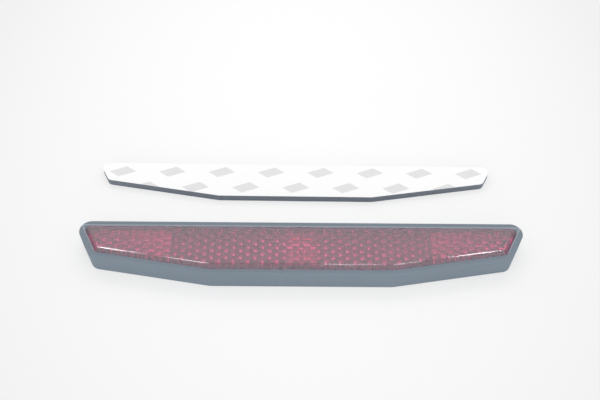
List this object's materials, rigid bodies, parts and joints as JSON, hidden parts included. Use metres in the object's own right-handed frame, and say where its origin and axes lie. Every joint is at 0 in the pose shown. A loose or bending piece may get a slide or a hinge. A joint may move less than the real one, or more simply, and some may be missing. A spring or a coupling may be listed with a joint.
{
  "type": "adhesive reflector",
  "caption": "Long low stick-on bar reflector: a moulded tray housing with a clear red corner-cube prism lens, and the die-cut adhesive foam pad with its release liner lying beside it.",
  "frame": {"origin": "middle of the housing's flat back face, on the surface it lies on", "axes": "+X along the bar to the right as pictured, +Y towards the straight long edge and the pad, +Z the way the lens faces"},
  "size_m": [0.129, 0.0449, 0.0076],
  "materials": {
    "housing_plastic": "satin moulded plastic, slate grey",
    "lens_plastic": "polished clear red plastic",
    "pad_foam": "matt closed-cell foam, cut edge",
    "liner_paper": "white siliconed release paper"
  },
  "bodies": {
    "root": {"housing": "housing_plastic", "lens": "lens_plastic", "foam_pad": "pad_foam", "release_liner": "liner_paper"}
  },
  "joints": []
}
